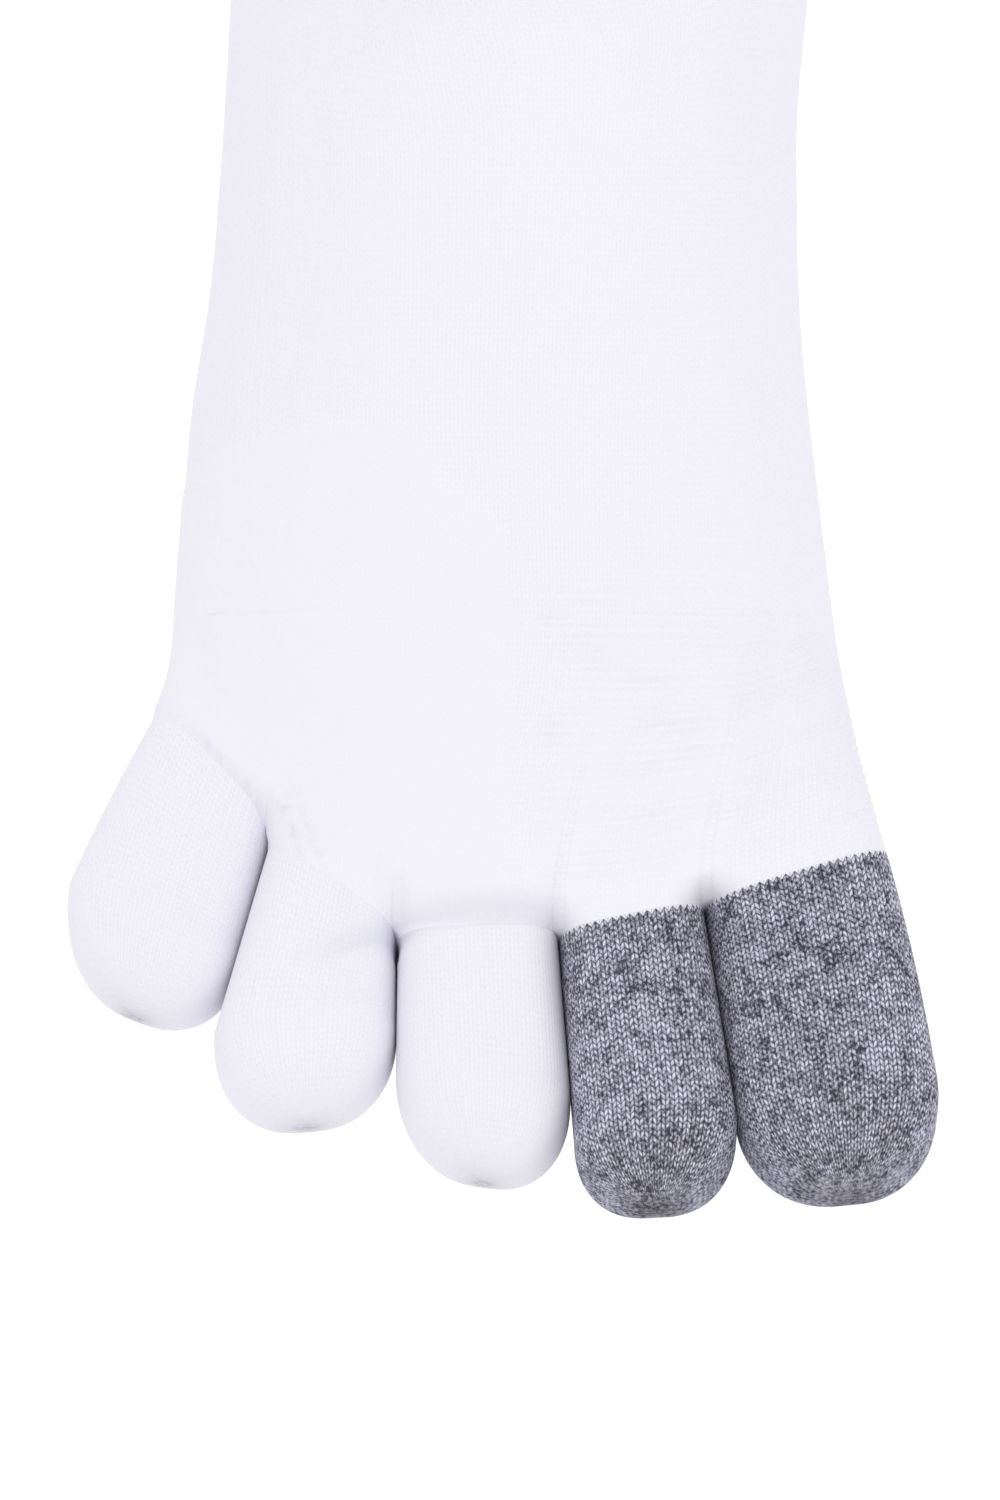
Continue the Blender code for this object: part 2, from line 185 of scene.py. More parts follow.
def section_table():
    """Every section from the leg's top to the ball of the foot, in metres."""
    ankle_z = SECTIONS[0].top_z * INSTEP_HEIGHT
    low_z = LEG_HEIGHT + (ankle_z - LEG_HEIGHT) * LEG_LOW
    medial = LEG_MEDIAL * LEG_WIDTH
    made = []
    for z, shift in ((LEG_HEIGHT, 0), (low_z, LEG_LEAN)):
        back = (LEG_BACK - shift) * FOOT_LENGTH
        sides = (medial, LEG_WIDTH - medial, 0, 0.5, 2.1, 2.1)
        made.append((back - LEG_DEPTH, z, back, z, *sides))
    for row in SECTIONS:
        places = (row.top_y * FOOT_LENGTH, row.top_z * INSTEP_HEIGHT, row.sole_y * FOOT_LENGTH)
        widths = (row.medial * BALL_WIDTH, row.lateral * BALL_WIDTH, row.crest * BALL_WIDTH)
        sole = row.sole_z * INSTEP_HEIGHT - WALL
        made.append((*places, sole, *widths, row.widest, row.top_round, row.sole_round))
    return np.array(made)


def oval_ring(row, inset):
    """A ring of the tube: over the top from the medial side, then under the sole."""
    row = Section(*row)
    top = np.array([0, row.top_y, row.top_z])
    sole = np.array([0, row.sole_y, row.sole_z])
    centre = top + (sole - top) * row.widest
    rise = np.linalg.norm(top - centre)
    fall = np.linalg.norm(sole - centre)
    up = (top - centre) / rise
    sizes = (row.medial - inset, row.lateral - inset, rise - inset, fall - inset)
    over = even_arc(0, math.pi, OVER, row.top_round, *sizes)
    under = even_arc(math.pi, 2 * math.pi, UNDER, row.sole_round, *sizes)
    flat = np.vstack([over[:-1], under[:-1]])
    height = np.clip(flat[:, 1] / sizes[2], 0, 1)
    side = flat[:, 0] + row.crest * height**2
    return centre + np.outer(side, (1, 0, 0)) + np.outer(flat[:, 1], up)


def even_places(spacing):
    """Places in the section table with this spacing along the top of the foot."""
    fine = np.linspace(0, len(SECTIONS) + 1, 800)
    table = through(section_table(), fine)
    steps = np.hypot(np.diff(table[:, 0]), np.diff(table[:, 1]))
    along = np.append(0, np.cumsum(steps))
    count = round(along[-1] / spacing)
    return np.interp(np.linspace(0, along[-1], count + 1), along, fine)


print("top of the foot", len(even_places(0.001)), "mm from the cuff to the ball")

# %% [markdown]
# ## Curves of the toes
# Each pocket lies between two lines drawn in plan. Its section is a rounded box that
# keeps its width up to a shoulder and then rounds off to the tip. The same function
# gives the visible face of the cloth, its inside and the ring where it joins the foot.


# %% Rings of the toes
def split_point(line, y_share):
    """The point of a line between toes at this share of the foot's length."""
    share = (y_share - line.base_y) / (line.end_y - line.base_y)
    x = line.base_x + share * (line.end_x - line.base_x) + line.bulge * 4 * share * (1 - share)
    return np.array([x * BALL_WIDTH, y_share * FOOT_LENGTH])


def toe_edges(index, straight):
    """Medial and lateral points of a toe, from 0 at its base to 1 at its shoulder."""
    toe = TOES[index]
    made = []
    for line, shoulder_y in zip(SPLITS[index : index + 2], (toe.medial_y, toe.lateral_y)):
        made.append(split_point(line, line.base_y + (shoulder_y - line.base_y) * straight))
    return made


def toe_tip(index):
    return np.array([TOES[index].tip_x * BALL_WIDTH, TOES[index].tip_y * FOOT_LENGTH])


def straight_length(index):
    """Length of a toe from its base to its shoulder."""
    return np.linalg.norm(sum(toe_edges(index, 1)) / 2 - sum(toe_edges(index, 0)) / 2)


def toe_forward(index):
    forward = toe_tip(index) - sum(toe_edges(index, 0)) / 2
    return forward / np.linalg.norm(forward)


def toe_arcs(index, counts, half, rise, fall):
    """Top arc, lateral side, bottom arc and medial side, each without its last point."""
    over, side, under = counts
    first = CORNER_ANGLE if index > 0 else 0
    last = math.pi - (CORNER_ANGLE if index < WEBS else 0)
    sizes = (TOE_ROUND, half, half, rise, fall)
    made = [even_arc(first, last, over, *sizes)[:-1]]
    if index < WEBS:
        made.append(even_arc(last, 2 * math.pi - last, side, *sizes)[:-1])
    made.append(even_arc(2 * math.pi - last, 2 * math.pi - first, under, *sizes)[:-1])
    if index > 0:
        made.append(even_arc(-first, first, side, *sizes)[:-1])
    return made


def toe_ring(index, along, inset, counts):
    """A toe's section. Along is 0 at the base, 1 at the shoulder and 2 at the tip."""
    toe = TOES[index]
    straight = min(along, 1)
    medial, lateral = toe_edges(index, straight)
    centre = (medial + lateral) / 2
    across = (medial - lateral) / np.linalg.norm(medial - lateral)
    half = np.linalg.norm(medial - lateral) / 2 - TOE_GAP / 2 - inset
    top_share = toe.base_top + (toe.shoulder_top - toe.base_top) * straight
    floor = -WALL
    top = top_share * TOE_HEIGHT
    middle = floor + (top - floor) * TOE_WIDEST
    rise, fall = top - middle - inset, middle - floor - inset
    if along > 1:
        angle = (along - 1) * math.pi / 2
        reach = math.sin(angle) ** (2 / toe.tip_round)
        shrink = max(math.cos(angle), 0) ** (2 / toe.tip_round)
        end = toe_tip(index) - toe_forward(index) * inset
        centre = centre + (end - centre) * reach
        middle = middle + (TIP_HEIGHT * TOE_HEIGHT - middle) * reach
        half, rise, fall = half * shrink, rise * shrink, fall * shrink
    lean = toe.lean * max(1 - along, 0)
    flat = np.vstack(toe_arcs(index, counts, half, rise, fall))
    forward = toe_forward(index)
    plan = centre + np.outer(flat[:, 0], across) + np.outer(flat[:, 1] * lean, forward)
    return np.column_stack([plan, middle + flat[:, 1]])


print("straight part of each toe, mm", [round(straight_length(i) / MM) for i in range(5)])

# %% [markdown]
# ## From one tube to five
# Between the ball of the foot and the toes the one oval becomes five. The last ring is
# gathered from the five toe sections, and a Hermite curve carries every column of
# stitches from the oval to its place there. The dips between the toes and the swell
# behind the third toe are added close to that last ring. A weighted mean across the
# columns evens out the ripples that gathering them would leave.

# %% The bridge from the ball to the toes
SIDE_COLUMNS = 8


def base_counts(index):
    return TOES[index].over, SIDE_COLUMNS, TOES[index].under


def loop_parts(index):
    """Positions in a toe's ring of its top arc, lateral side, bottom arc, medial side."""
    over, side, under = base_counts(index)
    lateral = side if index < WEBS else 0
    medial = side if index > 0 else 0
    sizes = (over, lateral, under, medial)
    starts = np.cumsum([0, *sizes[:-1]])
    return [
        [(start + k) % sum(sizes) for k in range(size + 1)] for start, size in zip(starts, sizes)
    ]


def gather(loops):
    """The tube's last ring, picked from the toes' rings: top arcs, then bottom arcs."""
    over = [loop[k] for i, loop in enumerate(loops) for k in loop_parts(i)[0]]
    under = [loops[i][k] for i in reversed(range(len(loops))) for k in loop_parts(i)[2]]
    return over + under[1:-1]


def over_starts():
    return np.cumsum([0] + [toe.over + 1 for toe in TOES])


def envelope(front, onward):
    """The last ring with the dips between the toes filled, and its ways onward."""
    filled, onward = front.copy(), onward.copy()
    z = front[:, 2]
    centres = [start + toe.over // 2 for start, toe in zip(over_starts(), TOES)]
    low = np.arange(centres[0], centres[-1] + 1)
    across = -front[:, 0]
    for made, source in ((filled, front), (onward, onward.copy())):
        for axis in range(3) if made is onward else (1, 2):
            made[low, axis] = np.interp(across[low], across[centres], source[centres, axis])
    filled[low, 2] = np.maximum(z[low], filled[low, 2])
    first = OVER + TOES[-1].under // 2
    last = OVER + UNDER - TOES[0].under // 2
    filled[first : last + 1, 2] = np.minimum(z[first : last + 1], z.min())
    return filled, onward


EVEN_WIDTH = 0.004
EVEN_END = 0.0035


def even_across(ring, left):
    """The ring without the ripples between its columns, except close to the toes."""
    starts = over_starts()
    low = np.arange(TOES[0].over // 2, starts[-2] + TOES[-1].over // 2 + 1)
    x = ring[low, 0]
    near = np.exp(-(((x[:, None] - x) / EVEN_WIDTH) ** 2)) * np.abs(np.gradient(x))
    even = near @ ring[low] / near.sum(axis=1, keepdims=True)
    share = smooth(np.minimum(low - low[0], low[-1] - low) / 12) * smooth(left[low] / EVEN_END)
    made = ring.copy()
    made[low, 1:] += (even - ring[low])[:, 1:] * share[:, None]
    return made


def crease_share():
    """1 on the columns over the third toe, falling to 0 beside them."""
    share = np.zeros(OVER + UNDER)
    starts = over_starts()
    columns = np.arange(starts[2], starts[3] + TOES[3].over // 4)
    share[columns] = np.sin(math.pi * (columns - starts[2]) / (len(columns) - 1)) ** 0.7
    return share


def bridge(last, before, inset, back, rows):
    """Rings from the last oval to the toes' bases, and how far each point has to go."""
    counts = [base_counts(i) for i in range(len(TOES))]
    loops, ahead = (
        [toe_ring(i, (d - back) / straight_length(i), inset, counts[i]) for i in range(len(TOES))]
        for d in (0, WEB_DEPTH)
    )
    front = np.array(gather(loops))
    filled, onward = envelope(front, np.array(gather(ahead)) - front)
    span = np.linalg.norm(filled - last, axis=1)[:, None]
    leave = (last - before) / np.linalg.norm(last - before, axis=1)[:, None] * span
    arrive = onward / np.linalg.norm(onward, axis=1)[:, None] * span * ARRIVAL
    creased = crease_share()[:, None] * np.array([0, 0, 1])
    made, lefts = [], []
    for t in np.linspace(0, 1, rows + 1)[1:]:
        ring = (
            (2 * t**3 - 3 * t**2 + 1) * last
            + (t**3 - 2 * t**2 + t) * leave
            + (3 * t**2 - 2 * t**3) * filled
            + (t**3 - t**2) * arrive
        )
        left = (1 - t) * span
        ring = even_across(ring, left[:, 0])
        dip = np.clip(1 - left / VALLEY_LENGTH, 0, 1) ** 2
        swell = left / GROOVE_WIDTH * np.exp(1 - left / GROOVE_WIDTH)
        made.append(ring + (front - filled) * dip + creased * GROOVE_DEPTH * swell)
        lefts.append(left[:, 0])
    return np.array(made), np.array(lefts), loops


def tube(inset, back, spacing, rows):
    """Every ring of one face of the tube, the distance left to the toes, the toe rings."""
    table = through(section_table(), even_places(spacing))
    rings = np.array([oval_ring(row, inset) for row in table])
    made, lefts, loops = bridge(rings[-1], rings[-2], inset, back, rows)
    far = np.repeat(lefts[:1] + 0.01, len(rings), axis=0)
    return np.vstack([rings, made]), np.vstack([far, lefts]), loops


print("points in the last ring", OVER + UNDER)

# %% [markdown]
# ## A cloth mesh
# Knitting is drawn on a surface by its wales, the columns of stitches, and its courses,
# the rows. This builder lays rings out as quads and writes the wale and course of every
# corner into the UV map, so one unit of UV is one stitch, whatever the mesh is like.


# %% Mesh builder
class Cloth:
    """Points, faces and stitch coordinates of one piece."""

    def __init__(self):
        self.points, self.faces, self.corners = [], [], []
        self.marks = {}

    def add(self, points):
        start = len(self.points)
        self.points.extend(map(tuple, points))
        return list(range(start, len(self.points)))

    def face(self, ids, places):
        self.faces.append(ids)
        self.corners.extend(places)

    def join(self, first, second, wales, low, high):
        """Quads between two rings. Low and high are the courses of each point."""
        count = len(first)
        for k in range(count):
            n = (k + 1) % count
            a, b = wales[k], wales[k + 1]
            places = ((a, low[k]), (b, low[n]), (b, high[n]), (a, high[k]))
            self.face((first[k], first[n], second[n], second[k]), places)

    def wall(self, rings, wales, courses):
        ids = [self.add(ring) for ring in rings]
        for row in range(len(ids) - 1):
            self.join(ids[row], ids[row + 1], wales, courses[row], courses[row + 1])
        return ids

    def close(self, ring, point, wales, course):
        """A fan from a ring to one point."""
        pole = self.add([point])[0]
        for k in range(len(ring)):
            places = ((wales[k], course), (wales[k + 1], course), (wales[k], course + 1))
            self.face((ring[k], ring[(k + 1) % len(ring)], pole), places)

    def build(self, name, surface):
        mesh = bpy.data.meshes.new(name)
        mesh.from_pydata(self.points, [], self.faces)
        stitches = mesh.uv_layers.new(name="stitches")
        stitches.data.foreach_set("uv", np.array(self.corners, np.float32).ravel())
        for mark, ids_values in self.marks.items():
            values = np.zeros(len(self.points), np.float32)
            values[ids_values[0]] = ids_values[1]
            mesh.attributes.new(mark, "FLOAT", "POINT").data.foreach_set("value", values)
        working = bmesh.new()
        working.from_mesh(mesh)
        bmesh.ops.recalc_face_normals(working, faces=working.faces)
        working.to_mesh(mesh)
        working.free()
        mesh.shade_smooth()
        mesh.set_sharp_from_angle(angle=math.radians(65))
        mesh.materials.append(surface)
        piece = bpy.data.objects.new(name + "_knit", mesh)
        bpy.context.scene.collection.objects.link(piece)
        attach(piece, "root")
        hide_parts(name)
        print(piece.name, "triangles", sum(len(face) - 2 for face in self.faces))
        return piece


# %% Helpers for relief
def smooth(value):
    """0 below 0, 1 above 1 and an even slope between."""
    value = np.clip(value, 0, 1)
    return value * value * (3 - 2 * value)


def patchy(x, y, seed, cells=64):
    """Soft random patches from 0 to 1, one for each unit of x and y."""
    lattice = np.random.default_rng(seed).random((cells, cells))
    i, j = np.floor(x).astype(int), np.floor(y).astype(int)
    s, t = smooth(x - i), smooth(y - j)
    near = lattice[i % cells, j % cells] * (1 - s) + lattice[(i + 1) % cells, j % cells] * s
    far_j = (j + 1) % cells
    far = lattice[i % cells, far_j] * (1 - s) + lattice[(i + 1) % cells, far_j] * s
    return near * (1 - t) + far * t


def outward(rings):
    """Unit normals of a closed wall of rings, pointing out of the tube."""
    around = np.roll(rings, -1, axis=1) - np.roll(rings, 1, axis=1)
    ahead = np.gradient(rings, axis=0)
    normal = np.cross(around, ahead)
    normal /= np.maximum(np.linalg.norm(normal, axis=2, keepdims=True), 1e-12)
    out = rings - rings.mean(axis=1, keepdims=True)
    return normal * np.sign((normal * out).sum())


def course_distance(rings, even_share):
    """Distance along each column. Where even_share is 1 it's that of the top column."""
    steps = np.linalg.norm(np.diff(rings, axis=0), axis=2)
    top = steps[:, OVER // 2][:, None]
    steps = top * even_share + steps * (1 - even_share)
    return np.vstack([np.zeros(rings.shape[1]), np.cumsum(steps, axis=0)])


# %% [markdown]
# ## Shader tools
# The look of knitting repeats in four materials, so it is built once as node groups. The
# first turns stitch coordinates into the two leaning legs of every loop. The second adds
# the fine fuzz of staple yarn and a slow drift of tone. Short helpers keep the node code
# readable.


# %% Node helpers
def feed(tree, socket, value):
    """A number or colour is set on the socket, another socket is linked to it."""
    if isinstance(value, bpy.types.NodeSocket):
        tree.links.new(value, socket)
    else:
        socket.default_value = value


def calc(tree, operation, *values):
    node = tree.nodes.new("ShaderNodeMath")
    node.operation = operation
    for socket, value in zip(node.inputs, values):
        feed(tree, socket, value)
    return node.outputs[0]


def fit_range(tree, value, low, high, to_low, to_high):
    node = tree.nodes.new("ShaderNodeMapRange")
    for name, given in (
        ("Value", value),
        ("From Min", low),
        ("From Max", high),
        ("To Min", to_low),
        ("To Max", to_high),
    ):
        feed(tree, node.inputs[name], given)
    return node.outputs["Result"]


def blend_colours(tree, share, first, second):
    node = tree.nodes.new("ShaderNodeMix")
    node.data_type = "RGBA"
    for socket, value in ((0, share), (6, first), (7, second)):
        feed(tree, node.inputs[socket], value)
    return node.outputs[2]


def noise(tree, place, scale, detail=2.0):
    node = tree.nodes.new("ShaderNodeTexNoise")
    feed(tree, node.inputs["Vector"], place)
    node.inputs["Scale"].default_value = scale
    node.inputs["Detail"].default_value = detail
    return node.outputs["Fac"]


def new_group(name, inputs, outputs):
    """A node group with (name, kind) inputs and outputs, and its two end nodes."""
    tree = bpy.data.node_groups.new(name, "ShaderNodeTree")
    for end, sockets in (("INPUT", inputs), ("OUTPUT", outputs)):
        for label, kind in sockets:
            tree.interface.new_socket(name=label, in_out=end, socket_type="NodeSocket" + kind)
    return tree, tree.nodes.new("NodeGroupInput"), tree.nodes.new("NodeGroupOutput")


# %% Stitch group
def stitch_group():
    tree, given, put = new_group(
        "Knit stitches",
        (("Stitch Place", "Vector"), ("Slant", "Float")),
        (("Height", "Float"), ("Between", "Float"), ("Yarn Tone", "Float"), ("Course", "Float")),
    )
    split = tree.nodes.new("ShaderNodeSeparateXYZ")
    feed(tree, split.inputs[0], given.outputs["Stitch Place"])
    wale, course = split.outputs[0], split.outputs[1]
    inside = calc(tree, "FRACT", wale)
    across = calc(tree, "ABSOLUTE", calc(tree, "SUBTRACT", inside, 0.5))
    slanted = calc(tree, "MULTIPLY", across, given.outputs["Slant"])
    leaning = calc(tree, "SUBTRACT", course, slanted)
    step = calc(tree, "FRACT", leaning)
    leg = calc(tree, "MULTIPLY", calc(tree, "SUBTRACT", across, 0.25), 4.0)
    leg = calc(tree, "SUBTRACT", 1.0, calc(tree, "MULTIPLY", leg, leg))
    bow = calc(tree, "SUBTRACT", calc(tree, "MULTIPLY", step, 2.0), 1.0)
    bow = calc(tree, "SUBTRACT", 1.0, calc(tree, "MULTIPLY", bow, bow))
    height = calc(tree, "SQRT", calc(tree, "MAXIMUM", calc(tree, "MULTIPLY", leg, bow), 0.0))
    side = calc(tree, "GREATER_THAN", inside, 0.5)
    number = calc(tree, "ADD", calc(tree, "MULTIPLY", calc(tree, "FLOOR", wale), 2.0), side)
    whole = calc(tree, "FLOOR", leaning)
    pair = tree.nodes.new("ShaderNodeCombineXYZ")
    feed(tree, pair.inputs[0], number)
    feed(tree, pair.inputs[1], whole)
    random_tone = tree.nodes.new("ShaderNodeTexWhiteNoise")
    random_tone.noise_dimensions = "2D"
    feed(tree, random_tone.inputs["Vector"], pair.outputs[0])
    feed(tree, put.inputs["Height"], height)
    # Between is 1 in the gaps between the legs, where the materials paint shade.
    feed(tree, put.inputs["Between"], fit_range(tree, height, 0.15, 0.85, 1.0, 0.0))
    feed(tree, put.inputs["Yarn Tone"], random_tone.outputs["Value"])
    feed(tree, put.inputs["Course"], whole)
    return tree


STITCHES = stitch_group()


# %% Yarn group
def yarn_group():
    tree, given, put = new_group(
        "Yarn fuzz",
        (("Place", "Vector"),),
        (("Fuzz", "Float"), ("Fleck", "Float"), ("Drift", "Float")),
    )
    place = given.outputs["Place"]
    feed(tree, put.inputs["Fuzz"], noise(tree, place, 4200.0, 3.0))
    feed(tree, put.inputs["Fleck"], noise(tree, place, 1900.0, 2.0))
    feed(tree, put.inputs["Drift"], noise(tree, place, 110.0, 3.0))
    return tree


YARN = yarn_group()
print("node groups", [group.name for group in bpy.data.node_groups])

# %% [markdown]
# ## Knit materials
# White cotton is never one flat colour: the tone drifts, and painted shade darkens the gaps
# between the loops a little. The heather toes mix dark and light fibres, so each leg of each
# loop gets a tone of its own, with flecks inside it, and a painted dark shadow fills the gaps
# between its loops. Cloth scatters light at grazing angles, which the sheen of the shader
# gives. All of it is in the nodes, from stitch coordinates.


# %% Material builder
def group_node(tree, group, **values):
    node = tree.nodes.new("ShaderNodeGroup")
    node.node_tree = group
    for name, value in values.items():
        feed(tree, node.inputs[name.replace("_", " ")], value)
    return node.outputs


def start_material(name, roughness, sheen):
    surface = bpy.data.materials.new(name)
    surface.use_nodes = True
    tree = surface.node_tree
    shader = tree.nodes["Principled BSDF"]
    shader.inputs["Roughness"].default_value = roughness
    shader.inputs["Specular IOR Level"].default_value = 0.25
    shader.inputs["Sheen Weight"].default_value = sheen
    shader.inputs["Sheen Roughness"].default_value = 0.6
    stitches = tree.nodes.new("ShaderNodeUVMap")
    stitches.uv_map = "stitches"
    place = tree.nodes.new("ShaderNodeTexCoord").outputs["Object"]
    return surface, tree, shader, stitches.outputs["UV"], place


def bump(tree, shader, height, depth):
    node = tree.nodes.new("ShaderNodeBump")
    node.inputs["Strength"].default_value = 1.0
    node.inputs["Distance"].default_value = depth
    feed(tree, node.inputs["Height"], height)
    feed(tree, shader.inputs["Normal"], node.outputs["Normal"])


def mark(tree, name):
    node = tree.nodes.new("ShaderNodeAttribute")
    node.attribute_name = name
    return node.outputs["Fac"]


# %% White knits
WHITE = (0.880, 0.870, 0.945, 1)
# Colour of the painted shade in the gaps between the loops; the random drift of tone leans to it
# too.
WHITE_SHADE = (0.820, 0.808, 0.890, 1)
PAD_WHITE = (0.870, 0.860, 0.915, 1)
# Colour of the painted shade in the crease, along the little toe's seam and among its loose
# loops.
PAINTED_SHADE_COLOUR = (0.600, 0.590, 0.720, 1)
STITCH_DEPTH = 0.00010
SLANT = 1.5  # how steeply the legs of a loop lean, in courses for each wale


def white_material(name, stitch_share, shade, marked=False):
    """White yarn. Stitch share is how much of the relief is stitches, the rest is fuzz. Shade is
    how much painted shade goes into the gaps between the loops.
    """
    surface, tree, shader, stitch_place, place = start_material(name, 0.95, 0.12)
    knit = group_node(tree, STITCHES, Stitch_Place=stitch_place, Slant=SLANT)
    yarn = group_node(tree, YARN, Place=place)
    share = stitch_share
    base = WHITE
    if marked:
        pad = mark(tree, "pad")
        base = blend_colours(tree, pad, WHITE, PAD_WHITE)
        share = fit_range(tree, pad, 0.0, 1.0, stitch_share, stitch_share * 0.35)
        share = calc(tree, "MULTIPLY", share, mark(tree, "open_knit"))
    # Painted shade in the crease, along the little toe's seam and among its loose loops.
    base = blend_colours(tree, mark(tree, "crease"), base, PAINTED_SHADE_COLOUR)
    # Painted shade in the gaps between the loops, with a random drift of tone added.
    dark = calc(tree, "MULTIPLY", knit["Between"], shade)
    drift = calc(tree, "MULTIPLY", yarn["Drift"], 0.12)
    dark = calc(tree, "ADD", dark, drift)
    feed(tree, shader.inputs["Base Color"], blend_colours(tree, dark, base, WHITE_SHADE))
    height = calc(tree, "MULTIPLY", knit["Height"], share)
    fuzz = calc(tree, "MULTIPLY", yarn["Fuzz"], 0.5)
    bump(tree, shader, calc(tree, "ADD", height, fuzz), STITCH_DEPTH)
    return surface


white_knit = white_material("white knit", 0.45, 0.22, marked=True)
white_toe_knit = white_material("white toe knit", 0.55, 0.25)
cuff_knit = white_material("cuff knit", 0.6, 0.3)

# %% Grey heather knit
HEATHER_DARK = (0.070, 0.066, 0.108, 1)
HEATHER_LIGHT = (0.78, 0.765, 0.93, 1)
HEATHER_DEPTH = 0.0002
# Colour of the painted shadow in the gaps between the loops.
HEATHER_GAP_SHADOW = (0.014, 0.013, 0.030, 1)


def heather_material():
    surface, tree, shader, stitch_place, place = start_material("grey heather knit", 0.9, 0.1)
    knit = group_node(tree, STITCHES, Stitch_Place=stitch_place, Slant=SLANT)
    yarn = group_node(tree, YARN, Place=place)
    tone = calc(tree, "MULTIPLY", knit["Yarn Tone"], 0.34)
    fleck = fit_range(tree, yarn["Fleck"], 0.34, 0.66, 0.02, 0.92)
    tone = calc(tree, "ADD", tone, fleck)
    drift = fit_range(tree, yarn["Drift"], 0.3, 0.7, -0.18, 0.12)
    tone = calc(tree, "ADD", tone, drift)
    patch = fit_range(tree, noise(tree, place, 420.0, 2.0), 0.3, 0.7, -0.30, 0.17)
    tone = calc(tree, "ADD", tone, patch)
    yarns = blend_colours(tree, tone, HEATHER_DARK, HEATHER_LIGHT)
    # Painted shadow: the gaps between the loops go nearly black.
    gap = calc(tree, "MULTIPLY", knit["Between"], 0.96)
    yarns = blend_colours(tree, gap, yarns, HEATHER_GAP_SHADOW)
    white = calc(tree, "LESS_THAN", knit["Course"], -0.5)
    feed(tree, shader.inputs["Base Color"], blend_colours(tree, white, yarns, WHITE))
    fuzz = calc(tree, "MULTIPLY", yarn["Fuzz"], 0.4)
    bump(tree, shader, calc(tree, "ADD", knit["Height"], fuzz), HEATHER_DEPTH)
    return surface


heather_knit = heather_material()
print("materials", [surface.name for surface in bpy.data.materials])

# %% [markdown]
# ## The foot and leg
# One tube makes the foot, the heel and the leg. The outer side of the forefoot is a
# padded zone that stands a little higher, with a soft step at its edge, and the inner side
# is knitted in small ridges that run across the foot. Both are relief on the mesh, moved
# along its normals, so they show from any side. The fine loops are left to the material.
# A soft shade is painted in the material in the crease across the third and fourth toe and
# along the seam of the little toe, where a few loose loops are left by the linking.

# %% Relief of the foot
PAD_EDGE = (  # plan of the padded zone's edge, from the toes back and round to the side
    (0.7, -165.0),
    (1.1, -143.0),
    (1.5, -128.0),
    (1.4, -117.0),
    (0.4, -112.0),
    (-8.3, -105.5),
    (-10.3, -101.0),
    (-12.4, -98.6),
    (-18.5, -97.5),
    (-30.0, -95.0),
    (-60.0, -90.0),
)
PAD_RISE = 0.35 * MM
PAD_STEP = 2.8 * MM  # width of the soft step
RIDGE_PITCH = 1.55 * MM
RIDGE_RISE = 0.16 * MM
LOOP_RISE = 0.07 * MM  # terry loops of the padded zone
WAVE_RISE = 0.15 * MM  # slow unevenness of cloth on a foot
COURSE = 0.90 * MM
WALES_ROUND = 208


def pad_share(x, y):
    """How far inside the padded zone each point is: 0 outside, 1 inside."""
    edge = np.array(PAD_EDGE) * MM
    nearest = np.full(x.shape, 1.0)
    for (ax, ay), (bx, by) in zip(edge, edge[1:]):
        length = math.hypot(bx - ax, by - ay)
        dx, dy = (bx - ax) / length, (by - ay) / length
        along = np.clip((x - ax) * dx + (y - ay) * dy, 0, length)
        nearest = np.minimum(nearest, np.hypot(x - ax - along * dx, y - ay - along * dy))
    limit = np.interp(y, edge[:, 1], edge[:, 0])
    signed = np.where((x < limit) & (y < edge[-1, 1]), nearest, -nearest)
    return smooth(signed / PAD_STEP + 0.5)


def foot_relief(rings, left, distance):
    """Height of the relief at each point, and the share of padding."""
    x, y = rings[..., 0], rings[..., 1]
    column = np.arange(rings.shape[1])
    upper = smooth(np.minimum(column, OVER - column) / 8.0)[None, :]
    near_toes = smooth((left - 1.5 * MM) / (6 * MM))
    pad = pad_share(x, y) * np.where(column < OVER, 1, 0.0)[None, :] * smooth(left / (4 * MM))
    phase = distance / RIDGE_PITCH + 0.5 * patchy(x / (9 * MM), y / (9 * MM), 3)
    zone = smooth((x - 3 * MM) / (4 * MM)) * smooth((-112 * MM - y) / (10 * MM)) * upper
    strength = 0.35 + 0.65 * patchy(x / (7 * MM), distance / (2.2 * MM), 5)
    ridge = np.sin(phase * 2 * math.pi) * zone * strength * (1 - pad) * near_toes
    terry = patchy(x / (1.0 * MM), distance / (3.0 * MM), 7) - 0.5
    loops = terry * LOOP_RISE * pad
    waves = patchy(x / (14 * MM), distance / (12 * MM), 11) - 0.5
    return pad * PAD_RISE + ridge * RIDGE_RISE + loops + waves * WAVE_RISE * near_toes, pad


